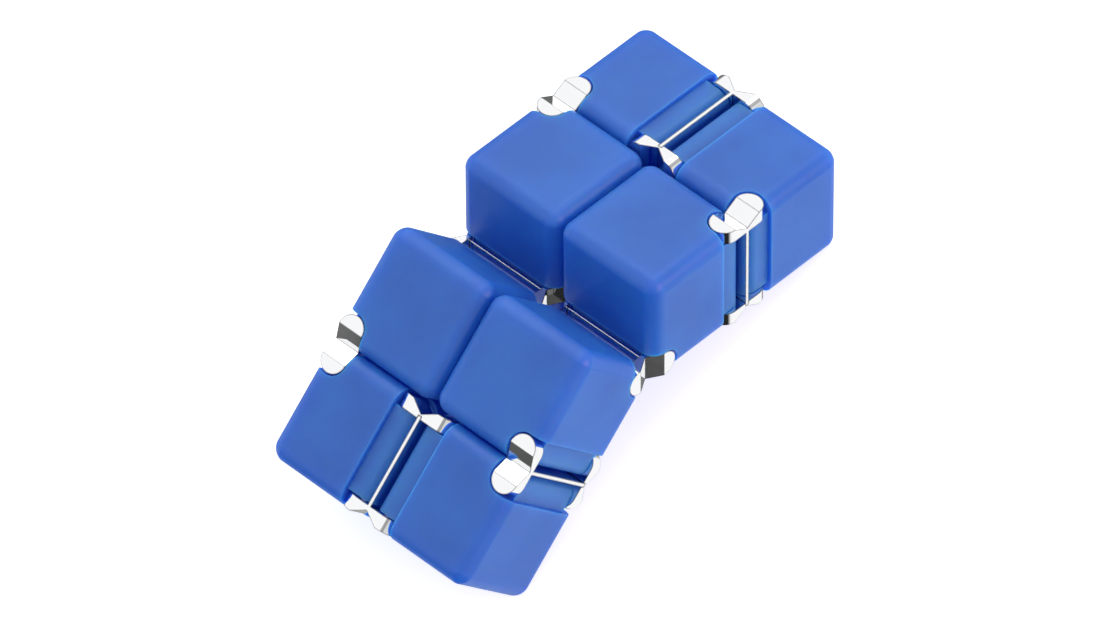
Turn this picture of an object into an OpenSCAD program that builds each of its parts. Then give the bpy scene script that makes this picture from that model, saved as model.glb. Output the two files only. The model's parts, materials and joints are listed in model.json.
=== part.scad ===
// Folding fidget cube: eight hollow cubes in an endless loop, joined by eight double-pivot
// hinge links. It stands half open as a tent, with the main fold along its ridge.
// Each half is a slab of four cubes. A slab is drawn lying flat, from x = 0 at the main fold
// outwards, y = 0 between its two rows and z = 0 underneath. The lower slab is the mirror
// image of the upper one, turned about the main fold's lower pivot.

/* [Cubes] */
// Spacing from one cube to the next
pitch = 20; // [18:0.5:26]
// Gap between two neighbouring cubes
gap = 0.2; // [0.1:0.05:0.4]
// Radius along the edges of a cube
edge_r = 2.5; // [2.3:0.1:2.8]
// Least wall left between a hinge's relief and the hollow
hinge_wall = 1; // [0.8:0.1:1.4]

/* [Covers] */
// Thickness of a cover's plate
cover_t = 1.5; // [1:0.1:2]
// Width of the ledge that a cover rests on
ledge = 0.8; // [0.5:0.1:1.2]
// Clearance around a cover
cover_clear = 0.1; // [0.05:0.05:0.2]
// Depth of the skirt that locates a cover
skirt_depth = 2.4; // [1:0.2:4]
// Thickness of that skirt
skirt_t = 1; // [0.6:0.1:1.4]

/* [Hinges] */
// Depth of each pivot below the faces of its cube
pivot_depth = 2.4; // [2.2:0.1:3]
// Radius of the round ends of a link's end plates
lobe_r = 2.3; // [2:0.1:2.4]
// Thickness of an end plate
plate_t = 2.3; // [2:0.1:2.8]
// Depth of an end plate below the end faces of the cubes
plate_sink = 0.2; // [0.1:0.1:0.5]
// Depth of the groove across an end plate
groove_depth = 1.5; // [0.8:0.1:1.6]
// Thickness of the web between two cubes
web_t = 0.6; // [0.4:0.1:0.8]
// Gap between the web's inner edge and the far wall of the relief
web_gap = 0.75; // [0.5:0.05:1.5]
// Length of the web's tongue inside the end cap
tongue = 0.5; // [0.3:0.1:0.6]
// Depth of the hinge relief below the faces of a cube
relief = 0.7; // [0.5:0.1:0.9]
// Clearance between an end plate and its notch, around the pivot
notch_clear = 0.25; // [0.2:0.05:0.5]
// Clearance between an end plate and its notch, along the pivot
side_clear = 0.15; // [0.1:0.05:0.3]

/* [Pins] */
// Radius of a hinge pin
pin_r = 0.75; // [0.5:0.05:0.9]
// Running clearance of a pin in its cube
pin_clear = 0.05; // [0.02:0.01:0.1]
// Depth of a pin in each end plate
pin_seat = 1.3; // [0.8:0.1:1.5]

/* [Pose] */
// Angle of the main fold, from flat
fold_angle = 45; // [10:1:80]

/* [Hidden] */
$fn = 64;
half_gap = gap / 2;
pivot = half_gap + pivot_depth;          // pivot axis to the sides of its cell
notch_r = lobe_r + notch_clear;
relief_reach = pivot + notch_r;          // cell side to the far wall of the relief
barrel_r = pivot_depth - relief;
notch_end = half_gap + plate_sink + plate_t + side_clear;
plate_start = half_gap + plate_sink;     // cell end to the outside of an end plate
plate_inner = plate_start + plate_t;
plate_edge = pivot - lobe_r;             // cell side to the outer edge of a link
web_w = relief_reach - web_gap - plate_edge;
rim = 0.1;                               // flat left between a rounded edge and a cover
cover_inset = edge_r + rim;              // cube side to the seat of its cover
wall = cover_inset + ledge;
hinge_land = relief_reach + hinge_wall;  // cell side to the far side of a hinge's land
press_gap = 0.01;                        // a pressed piece in its seat
spare = 1;                               // how far a cut runs past the surface
tip_scale = 1.01;                        // keeps a corner trim clear of the rounded edges

// The lean that brings the far edges of both slabs down to the same level
slab_reach = 2 * pitch - half_gap - edge_r;
foot_drop = half_gap + edge_r;
arm = slab_reach - pivot;
lean = atan2(arm * sin(fold_angle), slab_reach + pivot + arm * cos(fold_angle));

// ---- Where things stand ----

// A point (x, z) of the upper slab, after the lean
function leaned(p) = [p.x * cos(lean) + p.y * sin(lean), p.y * cos(lean) - p.x * sin(lean)];
// A point (x, z) of the lower slab, in the upper slab's frame
function folded(p) = [
  -pivot + (p.x + pivot) * cos(fold_angle) - (p.y - pivot) * sin(fold_angle),
  pivot + (p.x + pivot) * sin(fold_angle) + (p.y - pivot) * cos(fold_angle)
];
// The far top edges of the two slabs bound the tent at its two ends
right_end = leaned([slab_reach, pitch - foot_drop]).x + edge_r;
left_end = leaned(folded([-slab_reach, pitch - foot_drop])).x - edge_r;
floor_z = leaned([slab_reach, foot_drop]).y - edge_r;

module upper_slab() {
  translate([-(right_end + left_end) / 2, 0, -floor_z])
    rotate([0, lean, 0])
      children();
}

module lower_slab() {
  upper_slab()
    translate([-pivot, 0, pivot])
      rotate([0, -fold_angle, 0])
        translate([pivot, 0, -pivot])
          mirror([1, 0, 0])
            children();
}

module right_row() {
  mirror([0, 1, 0])
    children();
}

// An outer cube's cell, and its two hinge edges: along x at the top inside the row gap,
// and upright at the outside towards the main fold
module outer_cell() {
  translate([pitch, 0, 0])
    children();
}

module row_edge() {
  translate([0, 0, pitch])
    rotate([0, 90, 0])
      children();
}

module outer_door_edge() {
  translate([0, pitch, 0])
    rotate([0, 0, -90])
      children();
}

// An inner cube's two hinge edges: upright at the outside, and along the main fold
module inner_door_edge() {
  translate([pitch, pitch, 0])
    rotate([0, 0, 180])
      children();
}

module fold_edge() {
  translate([0, pitch, 0])
    rotate([90, 0, 0])
      children();
}

// The face that a cover fills: underneath an outer cube, at the row gap of an inner one.
// In the cover's own frame it lies flat at z = 0 and its cut corner is at the origin.
module outer_cover_seat() {
  translate([0, pitch, half_gap])
    rotate([0, 0, -90])
      children();
}

module inner_cover_seat() {
  translate([0, half_gap, 0])
    rotate([-90, -90, 0])
      children();
}

// ---- Cubes ----

module rounded_square() {
  side = pitch - gap;
  translate([half_gap, half_gap]) {
    translate([edge_r, 0])
      square([side - 2 * edge_r, side]);
    translate([0, edge_r])
      square([side, side - 2 * edge_r]);
    for (x = [edge_r, side - edge_r], y = [edge_r, side - edge_r])
      translate([x, y])
        circle(edge_r);
  }
}

module rounded_bar() {
  translate([0, 0, half_gap])
    linear_extrude(pitch - gap)
      rounded_square();
}

// Takes the tip off one corner, where three rounded edges meet
module corner_trim() {
  near = half_gap + edge_r;
  difference() {
    cube(near);
    translate([near, near, near])
      sphere(edge_r * tip_scale);
  }
}

module rounded_cube() {
  difference() {
    intersection() {
      rounded_bar();
      translate([0, pitch, 0])
        rotate([90, 0, 0])
          rounded_bar();
      translate([0, 0, pitch])
        rotate([0, 90, 0])
          rounded_bar();
    }
    for (x = [0, 1], y = [0, 1], z = [0, 1])
      translate([pitch / 2, pitch / 2, pitch / 2])
        mirror([x, 0, 0])
          mirror([0, y, 0])
            mirror([0, 0, z])
              translate([-pitch / 2, -pitch / 2, -pitch / 2])
                corner_trim();
  }
}

// Outline of the barrel and the lowered faces beside it
module barrel_outline() {
  face = half_gap + relief;
  far = relief_reach + spare;
  translate([pivot, pivot])
    circle(barrel_r);
  translate([pivot, face])
    square([far - pivot, far - face]);
  translate([face, pivot])
    square([far - face, far - pivot]);
}

// Outline of the room that an end plate sweeps
module notch_outline() {
  translate([pivot, pivot])
    circle(notch_r);
  translate([-spare, -spare])
    square([relief_reach + spare, pivot + spare]);
  translate([-spare, -spare])
    square([pivot + spare, relief_reach + spare]);
}

// Everything that a hinge takes out of one edge of a cube, the edge lying along z
module hinge_cut() {
  translate([0, 0, -spare])
    linear_extrude(pitch + 2 * spare)
      difference() {
        translate([-spare, -spare])
          square(relief_reach + spare);
        barrel_outline();
      }
  translate([0, 0, -spare])
    linear_extrude(notch_end + spare)
      notch_outline();
  translate([0, 0, pitch - notch_end])
    linear_extrude(notch_end + spare)
      notch_outline();
  translate([pivot, pivot, -spare])
    cylinder(h = pitch + 2 * spare, r = pin_r + pin_clear);
}

// A square outline inset from the cube's sides, less a square corner for a hinge
module cut_corner_square(inset, corner) {
  low = half_gap + inset;
  difference() {
    translate([low, low])
      square(pitch - 2 * low);
    square(corner);
  }
}

// The part of a cube that a hinge edge keeps solid, the edge lying along z
module hinge_keep() {
  linear_extrude(pitch)
    square(hinge_land);
}

// What a cover and the hollow behind it take out of a cube, from the cube's face at z = 0
module seat_cut() {
  translate([0, 0, -spare])
    linear_extrude(cover_t + spare)
      cut_corner_square(cover_inset, hinge_land);
}

module hollow() {
  linear_extrude(pitch - gap - wall)
    cut_corner_square(wall, hinge_land + ledge);
}

module cover() {
  skirt_inset = wall + cover_clear;
  skirt_corner = hinge_land + ledge + cover_clear;
  color("royalblue") {
    linear_extrude(cover_t)
      cut_corner_square(cover_inset + cover_clear, hinge_land + cover_clear);
    translate([0, 0, cover_t])
      linear_extrude(skirt_depth)
        difference() {
          cut_corner_square(skirt_inset, skirt_corner);
          cut_corner_square(skirt_inset + skirt_t, skirt_corner + skirt_t);
        }
  }
}

module outer_shell() {
  color("royalblue")
    difference() {
      rounded_cube();
      row_edge() hinge_cut();
      outer_door_edge() hinge_cut();
      outer_cover_seat() seat_cut();
      difference() {
        outer_cover_seat() hollow();
        row_edge() hinge_keep();
      }
    }
}

module inner_shell() {
  color("royalblue")
    difference() {
      rounded_cube();
      fold_edge() hinge_cut();
      inner_door_edge() hinge_cut();
      inner_cover_seat() seat_cut();
      difference() {
        inner_cover_seat() hollow();
        inner_door_edge() hinge_keep();
      }
    }
}

module outer_cover() {
  outer_cover_seat() cover();
}

module inner_cover() {
  inner_cover_seat() cover();
}

// ---- Hinge links ----
// In a link's own frame the gap between its cubes is the plane x = 0, the cubes' outer
// faces look towards -y and the pivots lie along z.

module row_hinge() {
  translate([pitch, 0, pitch])
    rotate([-90, 0, 0])
      rotate([0, 90, 0])
        children();
}

module door_hinge() {
  translate([pitch, pitch, 0])
    rotate([0, 0, 180])
      children();
}

module fold_hinge() {
  translate([0, pitch, 0])
    rotate([90, 0, 0])
      children();
}

module plate_outline() {
  for (side = [-1, 1])
    translate([side * pivot, pivot])
      circle(lobe_r);
  translate([-pivot, plate_edge])
    square([2 * pivot, 2 * lobe_r]);
}

// The end plate at the start of the link, with the groove across its outside
module end_plate() {
  difference() {
    translate([0, 0, plate_start])
      linear_extrude(plate_t)
        plate_outline();
    translate([0, pivot + lobe_r + spare, plate_start])
      rotate([90, 0, 0])
        linear_extrude(2 * (lobe_r + spare))
          polygon([[-pivot, 0], [0, groove_depth], [pivot, 0], [pivot, -spare], [-pivot, -spare]]);
  }
}

// A web, or the slot that takes its tongue
module web(clear) {
  translate([-web_t / 2 - clear, plate_edge - clear, plate_inner - tongue])
    cube([web_t + 2 * clear, web_w + 2 * clear, pitch - 2 * plate_inner + tongue]);
}

module pins(radius) {
  for (side = [-1, 1])
    translate([side * pivot, pivot, plate_inner - pin_seat])
      cylinder(h = pitch - 2 * (plate_inner - pin_seat), r = radius);
}

module far_end() {
  translate([0, 0, pitch])
    mirror([0, 0, 1])
      children();
}

module hinge_link() {
  color("silver")
    difference() {
      union() {
        web(0);
        far_end() end_plate();
      }
      pins(pin_r + press_gap);
    }
}

module hinge_cap() {
  color("silver")
    difference() {
      end_plate();
      web(press_gap);
      pins(pin_r + press_gap);
    }
}

module hinge_pins() {
  color("dimgray")
    pins(pin_r);
}

// ---- The pieces, each where it stands ----

module cube_a_shell() { upper_slab() outer_cell() outer_shell(); }
module cube_a_cover() { upper_slab() outer_cell() outer_cover(); }
module cube_b_shell() { upper_slab() right_row() outer_cell() outer_shell(); }
module cube_b_cover() { upper_slab() right_row() outer_cell() outer_cover(); }
module cube_c_shell() { upper_slab() inner_shell(); }
module cube_c_cover() { upper_slab() inner_cover(); }
module cube_d_shell() { upper_slab() right_row() inner_shell(); }
module cube_d_cover() { upper_slab() right_row() inner_cover(); }
module cube_e_shell() { lower_slab() inner_shell(); }
module cube_e_cover() { lower_slab() inner_cover(); }
module cube_f_shell() { lower_slab() right_row() inner_shell(); }
module cube_f_cover() { lower_slab() right_row() inner_cover(); }
module cube_g_shell() { lower_slab() outer_cell() outer_shell(); }
module cube_g_cover() { lower_slab() outer_cell() outer_cover(); }
module cube_h_shell() { lower_slab() right_row() outer_cell() outer_shell(); }
module cube_h_cover() { lower_slab() right_row() outer_cell() outer_cover(); }
module hinge_ab_link() { upper_slab() row_hinge() hinge_link(); }
module hinge_ab_cap() { upper_slab() row_hinge() hinge_cap(); }
module hinge_ab_pins() { upper_slab() row_hinge() hinge_pins(); }
module hinge_ac_link() { upper_slab() door_hinge() hinge_link(); }
module hinge_ac_cap() { upper_slab() door_hinge() hinge_cap(); }
module hinge_ac_pins() { upper_slab() door_hinge() hinge_pins(); }
module hinge_bd_link() { upper_slab() right_row() door_hinge() hinge_link(); }
module hinge_bd_cap() { upper_slab() right_row() door_hinge() hinge_cap(); }
module hinge_bd_pins() { upper_slab() right_row() door_hinge() hinge_pins(); }
module hinge_ce_link() { upper_slab() fold_hinge() hinge_link(); }
module hinge_ce_cap() { upper_slab() fold_hinge() hinge_cap(); }
module hinge_ce_pins() { upper_slab() fold_hinge() hinge_pins(); }
module hinge_df_link() { upper_slab() right_row() fold_hinge() hinge_link(); }
module hinge_df_cap() { upper_slab() right_row() fold_hinge() hinge_cap(); }
module hinge_df_pins() { upper_slab() right_row() fold_hinge() hinge_pins(); }
module hinge_eg_link() { lower_slab() door_hinge() hinge_link(); }
module hinge_eg_cap() { lower_slab() door_hinge() hinge_cap(); }
module hinge_eg_pins() { lower_slab() door_hinge() hinge_pins(); }
module hinge_fh_link() { lower_slab() right_row() door_hinge() hinge_link(); }
module hinge_fh_cap() { lower_slab() right_row() door_hinge() hinge_cap(); }
module hinge_fh_pins() { lower_slab() right_row() door_hinge() hinge_pins(); }
module hinge_gh_link() { lower_slab() row_hinge() hinge_link(); }
module hinge_gh_cap() { lower_slab() row_hinge() hinge_cap(); }
module hinge_gh_pins() { lower_slab() row_hinge() hinge_pins(); }

cube_a_shell();
cube_a_cover();
cube_b_shell();
cube_b_cover();
cube_c_shell();
cube_c_cover();
cube_d_shell();
cube_d_cover();
cube_e_shell();
cube_e_cover();
cube_f_shell();
cube_f_cover();
cube_g_shell();
cube_g_cover();
cube_h_shell();
cube_h_cover();
hinge_ab_link();
hinge_ab_cap();
hinge_ab_pins();
hinge_ac_link();
hinge_ac_cap();
hinge_ac_pins();
hinge_bd_link();
hinge_bd_cap();
hinge_bd_pins();
hinge_ce_link();
hinge_ce_cap();
hinge_ce_pins();
hinge_df_link();
hinge_df_cap();
hinge_df_pins();
hinge_eg_link();
hinge_eg_cap();
hinge_eg_pins();
hinge_fh_link();
hinge_fh_cap();
hinge_fh_pins();
hinge_gh_link();
hinge_gh_cap();
hinge_gh_pins();
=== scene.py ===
import json
import math

import bmesh
import bpy
from mathutils import Matrix, Vector

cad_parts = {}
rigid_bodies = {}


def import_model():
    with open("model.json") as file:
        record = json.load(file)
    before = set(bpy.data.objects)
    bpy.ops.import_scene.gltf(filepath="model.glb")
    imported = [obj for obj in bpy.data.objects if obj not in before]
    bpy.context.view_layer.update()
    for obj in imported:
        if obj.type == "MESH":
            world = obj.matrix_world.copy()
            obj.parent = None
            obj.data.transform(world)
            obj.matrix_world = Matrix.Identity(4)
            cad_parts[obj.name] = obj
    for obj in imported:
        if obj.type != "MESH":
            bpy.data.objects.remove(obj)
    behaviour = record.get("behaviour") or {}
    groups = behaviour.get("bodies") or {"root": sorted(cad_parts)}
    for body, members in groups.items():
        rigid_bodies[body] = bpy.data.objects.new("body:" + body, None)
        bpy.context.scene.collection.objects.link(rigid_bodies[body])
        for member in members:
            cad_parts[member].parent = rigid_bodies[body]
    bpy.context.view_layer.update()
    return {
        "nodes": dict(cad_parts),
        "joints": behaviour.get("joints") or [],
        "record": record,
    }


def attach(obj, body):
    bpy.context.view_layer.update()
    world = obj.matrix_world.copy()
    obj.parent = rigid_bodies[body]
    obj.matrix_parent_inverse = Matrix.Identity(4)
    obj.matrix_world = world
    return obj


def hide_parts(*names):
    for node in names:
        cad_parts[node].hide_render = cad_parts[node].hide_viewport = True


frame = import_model()

MM = 0.001

# ---- Sizes and places (metres and degrees) ----

CAMERA_AZIMUTH = -23.30      # from looking along +Y
CAMERA_ELEVATION = 58.17
CAMERA_ROLL = -28.51
CAMERA_LENS = 500            # mm, so long that the view is nearly parallel
CAMERA_DISTANCE = 2.2686
AIM_RIGHT = -0.04 * MM       # from the main fold's pivots to the middle of the view
AIM_DOWN = 0.87 * MM

# Where the studio is darker, seen from the toy: direction, cosines at its soft edge, darkness
DARK_PATCHES = [
    ((-0.89, -0.16, -0.42), (0.56, 0.78), 0.98),
    ((0.50, 0.60, -0.62), (0.66, 0.90), 0.85),
    ((-0.47, -0.55, 0.69), (0.970, 0.990), 0.55),
    ((0.73, -0.42, 0.54), (0.970, 0.990), 0.50),
    ((0.00, -0.98, 0.20), (0.450, 0.800), 0.30),
]

# Lamps: azimuth, elevation, distance, size, watts, colour
SOFTBOXES = {
    "overhead_softbox": (15, 60, 0.9, (0.8, 0.8), 2.6, (1.0, 1.0, 1.0)),
    "side_softbox": (-75, 20, 0.8, (0.5, 0.3), 3.0, (1.0, 0.54, 0.5)),
}

FLOOR_GREY = (0.72, 0.72, 0.72, 1)
FLOOR_GLOW = 0.62            # the floor shines a little, so that shadows on it stay pale
FLOOR_RADIUS = 4.0
FLOOR_SIDES = 96

# Plastic: body colour, the paler colour (for slow colour drift, and painted as glow where walls
# are thin and as highlight along edges), base roughness
SHELL_PLASTIC = ((0.014, 0.104, 0.395, 1), (0.028, 0.2, 0.62, 1), 0.36)
COVER_PLASTIC = ((0.013, 0.1, 0.385, 1), (0.026, 0.19, 0.6, 1), 0.4)
CHROME = (0.93, 0.935, 0.945, 1)
# Painted edge lines on the chrome: a dark outline on the plates, a bright highlight line on the
# webs
PLATE_PAINTED_OUTLINE = (0.05, 0.05, 0.055, 1)
WEB_PAINTED_HIGHLIGHT = (0.96, 0.96, 0.97, 1)
STEEL_BRIGHT = (0.58, 0.585, 0.6, 1)
STEEL_DULL = (0.44, 0.44, 0.46, 1)

WELD = 0.002 * MM
FLAT_ANGLE = math.radians(0.3)       # triangles flatter than this join into one face
CREASE_ANGLE = math.radians(28)
SOFT_EDGE = {"shell": 0.08 * MM, "cover": 0.08 * MM, "link": 0.06 * MM, "cap": 0.06 * MM}
SOFT_EDGE_STEPS = 2
WEB_EDGE = 0.2 * MM                  # rounding along the inner edge of a hinge's web
WEB_EDGE_STEPS = 4
WEB_LENGTH = 10 * MM                 # an edge of a link that is longer than this is on its web
WEB_INNER = 0.9                      # inner edges lie within this share of the outer ones' reach
PIN_CHAMFER = 0.15 * MM
PIN_SIDES = 32


# ---- Camera ----

def joint(name):
    return next(j for j in frame["joints"] if j["name"] == name)


def fold_centre():
    pivots = ["left_fold_upper_pivot", "left_fold_lower_pivot",
              "right_fold_upper_pivot", "right_fold_lower_pivot"]
    places = [Vector(joint(name)["pos_m"]) for name in pivots]
    return sum(places, Vector()) / len(places)


def add_camera():
    azimuth = math.radians(CAMERA_AZIMUTH)
    elevation = math.radians(CAMERA_ELEVATION)
    back = Vector((
        math.sin(azimuth) * math.cos(elevation),
        -math.cos(azimuth) * math.cos(elevation),
        math.sin(elevation),
    ))
    level_right = Vector((math.cos(azimuth), math.sin(azimuth), 0))
    roll = Matrix.Rotation(math.radians(CAMERA_ROLL), 3, back)
    right = roll @ level_right
    up = back.cross(right)
    centre = fold_centre() + right * AIM_RIGHT - up * AIM_DOWN

    data = bpy.data.cameras.new("camera")
    data.lens = CAMERA_LENS
    data.sensor_width = 36
    data.clip_start = 0.1
    data.clip_end = 50
    camera = bpy.data.objects.new("camera", data)
    bpy.context.scene.collection.objects.link(camera)
    turn = Matrix((right, up, back)).transposed().to_4x4()
    camera.matrix_world = Matrix.Translation(centre + back * CAMERA_DISTANCE) @ turn
    bpy.context.scene.camera = camera


# ---- Node helpers ----

def feed(tree, socket, value):
    """Links another node's output into a socket, or sets the socket's own value."""
    if isinstance(value, bpy.types.NodeSocket):
        tree.links.new(value, socket)
    else:
        socket.default_value = value


def add_node(tree, kind, settings=None, **inputs):
    """A node with its settings, its plain input values and its links in."""
    node = tree.nodes.new(kind)
    for name, value in (settings or {}).items():
        setattr(node, name, value)
    for name, value in inputs.items():
        feed(tree, node.inputs[name.replace("_", " ")], value)
    return node


def maths(tree, operation, *values):
    node = add_node(tree, "ShaderNodeMath", {"operation": operation})
    for socket, value in zip(node.inputs, values):
        feed(tree, socket, value)
    return node.outputs[0]


def dot_product(tree, first, second):
    node = add_node(tree, "ShaderNodeVectorMath", {"operation": "DOT_PRODUCT"})
    feed(tree, node.inputs[0], first)
    feed(tree, node.inputs[1], second)
    return node.outputs["Value"]


def ramp(tree, value, low, high, start=0.0, end=1.0):
    """Maps low..high onto start..end with a soft step."""
    return add_node(
        tree, "ShaderNodeMapRange", {"interpolation_type": "SMOOTHSTEP"},
        Value=value, From_Min=low, From_Max=high, To_Min=start, To_Max=end,
    ).outputs["Result"]


def blend_colours(tree, factor, first, second):
    return add_node(tree, "ShaderNodeMix", {"data_type": "RGBA"},
                    Factor=factor, A=first, B=second).outputs["Result"]


def new_group(name, kind, inputs, outputs):
    """A node group: inputs are (name, socket type, value), outputs are (name, socket type)."""
    group = bpy.data.node_groups.new(name, kind)
    for label, socket_type, value in inputs:
        socket = group.interface.new_socket(name=label, in_out="INPUT", socket_type=socket_type)
        if value is not None:
            socket.default_value = value
    for label, socket_type in outputs:
        group.interface.new_socket(name=label, in_out="OUTPUT", socket_type=socket_type)
    return group, group.nodes.new("NodeGroupInput"), group.nodes.new("NodeGroupOutput")


def principled(name):
    material = bpy.data.materials.new(name)
    material.use_nodes = True
    return material.node_tree, material.node_tree.nodes["Principled BSDF"], material


def set_shader(shader, **values):
    for name, value in values.items():
        shader.inputs[name.replace("_", " ")].default_value = value


# ---- Stage and light ----

def new_mesh_object(name, build):
    mesh = bpy.data.meshes.new(name)
    shape = bmesh.new()
    build(shape)
    shape.to_mesh(mesh)
    shape.free()
    piece = bpy.data.objects.new(name, mesh)
    bpy.context.scene.collection.objects.link(piece)
    return piece


def add_floor():
    _, shader, material = principled("pale_floor")
    set_shader(shader, Base_Color=FLOOR_GREY, Roughness=0.95, Specular_IOR_Level=0.05,
               Emission_Color=(1, 1, 1, 1), Emission_Strength=FLOOR_GLOW)
    floor = new_mesh_object("floor", lambda shape: bmesh.ops.create_circle(
        shape, cap_ends=True, segments=FLOOR_SIDES, radius=FLOOR_RADIUS))
    floor.data.materials.append(material)
    floor.visible_glossy = False


def add_softbox(name, azimuth, elevation, distance, size, power, colour):
    az, el = math.radians(azimuth), math.radians(elevation)
    direction = Vector((math.cos(az) * math.cos(el), math.sin(az) * math.cos(el), math.sin(el)))
    data = bpy.data.lights.new(name, "AREA")
    data.shape = "RECTANGLE"
    data.size, data.size_y = size
    data.energy = power
    data.color = colour
    light = bpy.data.objects.new(name, data)
    bpy.context.scene.collection.objects.link(light)
    light.location = direction * distance
    light.rotation_euler = direction.to_track_quat("Z", "Y").to_euler()


def add_world():
    """A white studio with a few darker patches, which the polished metal mirrors."""
    world = bpy.data.worlds.new("studio")
    bpy.context.scene.world = world
    world.use_nodes = True
    tree = world.node_tree
    place = tree.nodes.new("ShaderNodeTexCoord").outputs["Generated"]
    colour = (1, 1, 1, 1)
    for direction, edge, darkness in DARK_PATCHES:
        dark = ramp(tree, dot_product(tree, place, direction), *edge, 0.0, darkness)
        colour = blend_colours(tree, dark, colour, (0, 0, 0, 1))
    background = tree.nodes["Background"]
    tree.links.new(colour, background.inputs["Color"])
    background.inputs["Strength"].default_value = 1.0


add_camera()
add_floor()
add_world()
for lamp_name, lamp in SOFTBOXES.items():
    add_softbox(lamp_name, *lamp)
bpy.context.scene.view_settings.view_transform = "Standard"


# ---- Shared surface effects ----

def object_place(tree):
    return tree.nodes.new("ShaderNodeTexCoord").outputs["Object"]


def noise(tree, place, scale, detail=2.0, roughness=0.5):
    return add_node(tree, "ShaderNodeTexNoise", None, Vector=place, Scale=scale,
                    Detail=detail, Roughness=roughness).outputs["Fac"]


def moulded_grain():
    """The fine, even texture of a spark-eroded mould, and slow colour drift in the plastic."""
    group, given, out = new_group(
        "moulded_grain", "ShaderNodeTree",
        [("Grain Scale", "NodeSocketFloat", 5000.0), ("Drift Scale", "NodeSocketFloat", 120.0)],
        [("Grain", "NodeSocketFloat"), ("Drift", "NodeSocketFloat")],
    )
    place = object_place(group)
    fine = noise(group, place, given.outputs["Grain Scale"], 3.0, 0.6)
    pits = add_node(group, "ShaderNodeTexVoronoi", None, Vector=place,
                    Scale=given.outputs["Grain Scale"])
    grain = maths(group, "MULTIPLY_ADD", pits.outputs["Distance"], 0.5, fine)
    drift = noise(group, place, given.outputs["Drift Scale"], 2.0, 0.45)
    group.links.new(grain, out.inputs["Grain"])
    group.links.new(ramp(group, drift, 0.3, 0.7), out.inputs["Drift"])
    return group


def handling_marks():
    """Hairline scratches in two directions, and the soft smudges that fingers leave."""
    group, given, out = new_group(
        "handling_marks", "ShaderNodeTree",
        [("Scratch Scale", "NodeSocketFloat", 1.0), ("Smudge Scale", "NodeSocketFloat", 150.0)],
        [("Scratches", "NodeSocketFloat"), ("Smudges", "NodeSocketFloat")],
    )
    place = object_place(group)
    hairlines = []
    for turn, thin in (((0.5, 0.3, 0.9), 9000.0), ((1.2, -0.7, 2.2), 7000.0)):
        laid = add_node(group, "ShaderNodeMapping", None, Vector=place, Rotation=turn,
                        Scale=(90.0, thin, 900.0)).outputs["Vector"]
        streak = noise(group, laid, given.outputs["Scratch Scale"], 1.0, 0.4)
        hairlines.append(ramp(group, streak, 0.66, 0.74))
    where = ramp(group, noise(group, place, 260.0, 1.0), 0.42, 0.66)
    scratches = maths(group, "MULTIPLY", maths(group, "MAXIMUM", *hairlines), where)
    smudges = noise(group, place, given.outputs["Smudge Scale"], 3.0, 0.55)
    group.links.new(scratches, out.inputs["Scratches"])
    group.links.new(ramp(group, smudges, 0.45, 0.75), out.inputs["Smudges"])
    return group


def painted_edge_lines():
    """A mask that rises towards a piece's edges, broken up in noise patches; the materials paint
    highlight lines and dark outlines along the edges with it.
    """
    group, given, out = new_group(
        "painted_edge_lines", "ShaderNodeTree",
        [("Width", "NodeSocketFloat", 0.0004), ("Breakup", "NodeSocketFloat", 1.0),
         ("Breakup Scale", "NodeSocketFloat", 400.0)],
        [("Mask", "NodeSocketFloat")],
    )
    rounded = add_node(group, "ShaderNodeBevel", {"samples": 4}, Radius=given.outputs["Width"])
    plain = group.nodes.new("ShaderNodeNewGeometry").outputs["Normal"]
    edge = ramp(group, dot_product(group, rounded.outputs["Normal"], plain), 0.997, 0.975)
    patches = noise(group, object_place(group), given.outputs["Breakup Scale"], 2.0)
    line_gaps = maths(group, "MULTIPLY", ramp(group, patches, 0.6, 0.35), given.outputs["Breakup"])
    kept = maths(group, "SUBTRACT", 1.0, line_gaps)
    group.links.new(maths(group, "MULTIPLY", edge, kept), out.inputs["Mask"])
    return group


def thin_wall_glow():
    """A mask that rises where the plastic is thin or an edge is near, and light shows through."""
    group, given, out = new_group(
        "thin_wall_glow", "ShaderNodeTree",
        [("Depth", "NodeSocketFloat", 0.002)],
        [("Mask", "NodeSocketFloat")],
    )
    buried = add_node(group, "ShaderNodeAmbientOcclusion",
                      {"inside": True, "only_local": True, "samples": 4},
                      Distance=given.outputs["Depth"])
    group.links.new(ramp(group, buried.outputs["AO"], 0.95, 0.35), out.inputs["Mask"])
    return group


def place_group(tree, group, **inputs):
    return add_node(tree, "ShaderNodeGroup", {"node_tree": group}, **inputs).outputs


GRAIN = moulded_grain()
MARKS = handling_marks()
EDGE_LINE_MASK = painted_edge_lines()
GLOW = thin_wall_glow()


# ---- Materials ----

def wire(tree, shader, colour, rough, height, depth):
    """Feeds a shader's colour and roughness, and its fine relief, which is depth metres high."""
    tree.links.new(colour, shader.inputs["Base Color"])
    tree.links.new(rough, shader.inputs["Roughness"])
    relief = add_node(tree, "ShaderNodeBump", None, Height=height, Distance=depth, Strength=1.0)
    tree.links.new(relief.outputs["Normal"], shader.inputs["Normal"])


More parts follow.
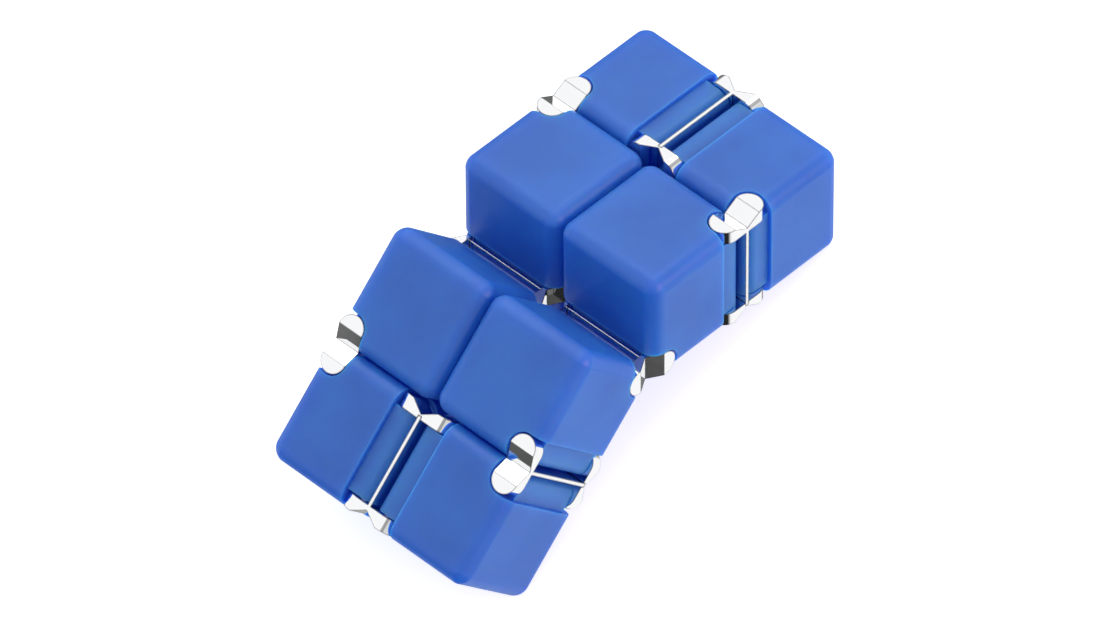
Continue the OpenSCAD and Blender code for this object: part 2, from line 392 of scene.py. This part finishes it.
def blue_plastic(name, body, glow, satin):
    """Frosted, slightly see-through ABS: light spreads inside it, its edges get a painted paler
    glow and painted highlight lines, and the whole plastic a faint painted self-glow.
    """
    tree, shader, material = principled(name)
    # The faint blue emission is a painted glow, standing in for light shining through the plastic
    set_shader(shader, Subsurface_Weight=0.85, Subsurface_Radius=(0.06, 0.3, 1.0),
               Subsurface_Scale=8 * MM, Emission_Color=(0.0, 0.03, 1.0, 1), Emission_Strength=0.05)
    grain = place_group(tree, GRAIN, Grain_Scale=4200.0, Drift_Scale=90.0)
    marks = place_group(tree, MARKS)
    edges = place_group(tree, EDGE_LINE_MASK, Width=0.5 * MM)
    thin = place_group(tree, GLOW, Depth=1.8 * MM)
    colour = blend_colours(tree, maths(tree, "MULTIPLY", grain["Drift"], 0.25), body, glow)
    # Painted light: a paler glow where the wall is thin and near edges, and a painted highlight
    # line along the edges
    colour = blend_colours(tree, maths(tree, "MULTIPLY", thin["Mask"], 0.5), colour, glow)
    colour = blend_colours(tree, maths(tree, "MULTIPLY", edges["Mask"], 0.3), colour, glow)
    rough = maths(tree, "MULTIPLY_ADD", grain["Grain"], 0.07, satin)
    rough = maths(tree, "MULTIPLY_ADD", edges["Mask"], -0.08, rough)
    rough = maths(tree, "MULTIPLY_ADD", marks["Smudges"], 0.05, rough)
    height = maths(tree, "MULTIPLY_ADD", marks["Scratches"], -0.5, grain["Grain"])
    wire(tree, shader, colour, rough, height, 0.004 * MM)
    return material


def chrome(name, edge_line_colour):
    """Bright plating with faint smudges and hairlines, and a painted line along the edges in the
    given colour: a painted dark outline on the plates, a painted highlight on the webs.
    """
    tree, shader, material = principled(name)
    set_shader(shader, Metallic=1.0)
    marks = place_group(tree, MARKS, Smudge_Scale=260.0)
    edges = place_group(tree, EDGE_LINE_MASK, Width=0.26 * MM, Breakup=0.15, Breakup_Scale=700.0)
    ripple = noise(tree, object_place(tree), 420.0, 1.0)
    # Painted light: the edge mask lays a dark outline along the plates' edges and a highlight line
    # along the webs' edges
    colour = blend_colours(tree, edges["Mask"], CHROME, edge_line_colour)
    rough = maths(tree, "MULTIPLY_ADD", marks["Smudges"], 0.05, 0.035)
    rough = maths(tree, "MULTIPLY_ADD", marks["Scratches"], 0.06, rough)
    rough = maths(tree, "MULTIPLY_ADD", edges["Mask"], 0.1, rough)
    height = maths(tree, "MULTIPLY_ADD", marks["Scratches"], -0.02, ripple)
    wire(tree, shader, colour, rough, height, 0.006 * MM)
    return material


def ground_steel():
    """Centreless-ground pin steel, with grinding lines round the pins and greyer patches."""
    tree, shader, material = principled("ground_steel")
    set_shader(shader, Metallic=1.0)
    marks = place_group(tree, MARKS, Smudge_Scale=500.0)
    place = object_place(tree)
    lines = noise(tree, place, 9000.0, 2.0, 0.7)
    colour = blend_colours(tree, marks["Smudges"], STEEL_BRIGHT, STEEL_DULL)
    rough = maths(tree, "MULTIPLY_ADD", lines, 0.14, 0.2)
    rough = maths(tree, "MULTIPLY_ADD", marks["Scratches"], 0.15, rough)
    wire(tree, shader, colour, rough, lines, 0.004 * MM)
    return material


SHELL_BLUE = blue_plastic("frosted_blue_plastic", *SHELL_PLASTIC)
COVER_BLUE = blue_plastic("frosted_blue_cover", *COVER_PLASTIC)
PLATE_CHROME = chrome("polished_chrome_plate", PLATE_PAINTED_OUTLINE)
WEB_CHROME = chrome("polished_chrome_web", WEB_PAINTED_HIGHLIGHT)
STEEL = ground_steel()

FINISHES = {
    "shell": ([SHELL_BLUE], "frosted_blue_plastic"),
    "cover": ([COVER_BLUE], "frosted_blue_plastic"),
    "link": ([PLATE_CHROME, WEB_CHROME], "chromed_link"),
    "cap": ([PLATE_CHROME], "chromed_link"),
    "pins": ([STEEL], "pin_steel"),
}


def kind_of(node):
    return node.rsplit("_", 1)[1]


# ---- Finished cubes and hinge metal ----

def hinge_axis(link):
    pivot = next(j for j in frame["joints"] if link in (j["parent"], j["child"]))
    return Vector(pivot["axis"]).normalized()


def pin_layout(node, axis):
    """A pin pair's centre, the way across it, and the pins' spacing, length and radius."""
    points = [v.co.copy() for v in frame["nodes"][node].data.vertices]
    low = min(p.dot(axis) for p in points)
    high = max(p.dot(axis) for p in points)
    flat = [p - axis * p.dot(axis) for p in points]
    middle = sum(flat, Vector()) / len(flat)
    across = max((p - middle for p in flat), key=lambda d: d.length).normalized()
    sides = [[p for p in flat if (p - middle).dot(across) * way > 0] for way in (1, -1)]
    first, second = (sum(side, Vector()) / len(side) for side in sides)
    radius = max((p - first).length for p in sides[0])
    across = (first - second).normalized()
    centre = (first + second) / 2 + axis * (low + high) / 2
    return centre, across, (first - second).length, high - low, radius


def outward_edges(shape, least=0.0):
    """The sharp edges that stick out, longer than least."""
    return [e for e in shape.edges if len(e.link_faces) == 2 and e.calc_length() > least
            and e.calc_face_angle_signed() > CREASE_ANGLE]


def web_edges(shape, centre, axis):
    """The long edges on a hinge web's inner side, the one nearer to the pins' middle line."""
    reach = {}
    for edge in outward_edges(shape, WEB_LENGTH):
        offset = (edge.verts[0].co + edge.verts[1].co) / 2 - centre
        reach[edge] = (offset - axis * offset.dot(axis)).length
    return [edge for edge, distance in reach.items() if distance < WEB_INNER * max(reach.values())]


def round_edges(shape, edges, width, steps):
    bmesh.ops.bevel(shape, geom=edges, offset=width, segments=steps, profile=0.5,
                    affect="EDGES", clamp_overlap=True)


def crease(shape):
    for face in shape.faces:
        face.smooth = True
    for edge in shape.edges:
        edge.smooth = len(edge.link_faces) == 2 and edge.calc_face_angle() < CREASE_ANGLE


def keep_flats_flat(piece):
    """Shading follows the large flat faces, so only the roundings curve."""
    normals = piece.modifiers.new("flat_shading", "WEIGHTED_NORMAL")
    normals.keep_sharp = True
    normals.mode = "FACE_AREA"
    normals.weight = 100


def dress(piece, node, body):
    """Gives a finished piece its materials and its body, and hides the CAD node it replaces."""
    materials, slot = FINISHES[kind_of(node)]
    piece.data.materials.clear()
    for material in materials:
        piece.data.materials.append(material)
    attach(piece, body)
    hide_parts(node)


def finish_node(node, body):
    kind = kind_of(node)

    def build(shape):
        shape.from_mesh(frame["nodes"][node].data)
        bmesh.ops.remove_doubles(shape, verts=shape.verts, dist=WELD)
        bmesh.ops.dissolve_limit(shape, angle_limit=FLAT_ANGLE,
                                 verts=shape.verts, edges=shape.edges)
        if kind == "link":
            axis = hinge_axis(body)
            centre = pin_layout(node.replace("_link", "_pins"), axis)[0]
            round_edges(shape, web_edges(shape, centre, axis), WEB_EDGE, WEB_EDGE_STEPS)
        round_edges(shape, outward_edges(shape), SOFT_EDGE[kind], SOFT_EDGE_STEPS)
        crease(shape)
        for face in shape.faces:
            on_web = kind == "link" and max(e.calc_length() for e in face.edges) > WEB_LENGTH
            face.material_index = 1 if on_web else 0

    piece = new_mesh_object(node + "_finished", build)
    keep_flats_flat(piece)
    dress(piece, node, body)


# ---- Hinge pins ----

def pin_pair_tree():
    """Two chamfered pins side by side, upright, in a hinge's own frame."""
    tree, given, out = new_group(
        "hinge_pin_pair", "GeometryNodeTree",
        [("Radius", "NodeSocketFloat", 0.001), ("Length", "NodeSocketFloat", 0.01),
         ("Chamfer", "NodeSocketFloat", 0.0001), ("Spacing", "NodeSocketFloat", 0.005),
         ("Sides", "NodeSocketInt", 32), ("Metal", "NodeSocketMaterial", None)],
        [("Geometry", "NodeSocketGeometry")],
    )
    size = given.outputs
    pin = add_node(tree, "GeometryNodeMeshCylinder", None, Vertices=size["Sides"],
                   Radius=size["Radius"], Depth=size["Length"])
    pin.inputs["Side Segments"].default_value = 3
    place = add_node(tree, "ShaderNodeSeparateXYZ", None,
                     Vector=tree.nodes.new("GeometryNodeInputPosition").outputs["Position"])
    height = place.outputs["Z"]
    at_end = maths(tree, "GREATER_THAN", maths(tree, "ABSOLUTE", height),
                   maths(tree, "MULTIPLY", size["Length"], 0.25))
    inset = maths(tree, "MULTIPLY", size["Chamfer"], maths(tree, "SUBTRACT", 1.0, at_end))
    level = maths(tree, "SUBTRACT", maths(tree, "MULTIPLY", size["Length"], 0.5), inset)
    narrow = maths(tree, "SUBTRACT", 1.0, maths(
        tree, "MULTIPLY", at_end, maths(tree, "DIVIDE", size["Chamfer"], size["Radius"])))
    moved = add_node(
        tree, "ShaderNodeCombineXYZ", None,
        X=maths(tree, "MULTIPLY", place.outputs["X"], narrow),
        Y=maths(tree, "MULTIPLY", place.outputs["Y"], narrow),
        Z=maths(tree, "MULTIPLY", maths(tree, "SIGN", height), level),
    )
    chamfered = add_node(tree, "GeometryNodeSetPosition", None, Geometry=pin.outputs["Mesh"],
                         Position=moved.outputs["Vector"])
    start = add_node(tree, "ShaderNodeCombineXYZ", None,
                     X=maths(tree, "MULTIPLY", size["Spacing"], -0.5))
    step = add_node(tree, "ShaderNodeCombineXYZ", None, X=size["Spacing"])
    row = add_node(tree, "GeometryNodeMeshLine", None, Count=2, Offset=step.outputs["Vector"])
    tree.links.new(start.outputs["Vector"], row.inputs["Start Location"])
    pair = add_node(tree, "GeometryNodeInstanceOnPoints", None, Points=row.outputs["Mesh"],
                    Instance=chamfered.outputs["Geometry"])
    real = add_node(tree, "GeometryNodeRealizeInstances", None, Geometry=pair.outputs["Instances"])
    finished = add_node(tree, "GeometryNodeSetMaterial", None, Geometry=real.outputs["Geometry"],
                        Material=size["Metal"])
    tree.links.new(finished.outputs["Geometry"], out.inputs["Geometry"])
    return tree


def grown_mesh(tree, **sizes):
    """The plain mesh that a node tree makes from its named sizes."""
    holder = bpy.data.objects.new("holder", bpy.data.meshes.new("holder"))
    bpy.context.scene.collection.objects.link(holder)
    grower = holder.modifiers.new("grower", "NODES")
    grower.node_group = tree
    sockets = {item.name: item.identifier for item in tree.interface.items_tree
               if item.in_out == "INPUT"}
    for name, value in sizes.items():
        grower[sockets[name]] = value
    shown = holder.evaluated_get(bpy.context.evaluated_depsgraph_get())
    mesh = bpy.data.meshes.new_from_object(shown)
    bpy.data.objects.remove(holder)
    return mesh


def add_pins(node, body, tree):
    axis = hinge_axis(body)
    centre, across, spacing, length, radius = pin_layout(node, axis)
    mesh = grown_mesh(tree, Radius=radius, Length=length, Chamfer=PIN_CHAMFER, Spacing=spacing,
                      Sides=PIN_SIDES, Metal=STEEL)
    turn = Matrix((across, axis.cross(across), axis)).transposed().to_4x4()

    def build(shape):
        shape.from_mesh(mesh)
        bmesh.ops.transform(shape, matrix=Matrix.Translation(centre) @ turn, verts=shape.verts)
        crease(shape)

    dress(new_mesh_object(node + "_finished", build), node, body)


PIN_PAIR = pin_pair_tree()
for body_name, body_nodes in frame["record"]["behaviour"]["bodies"].items():
    for node_name in body_nodes:
        if kind_of(node_name) == "pins":
            add_pins(node_name, body_name, PIN_PAIR)
        else:
            finish_node(node_name, body_name)
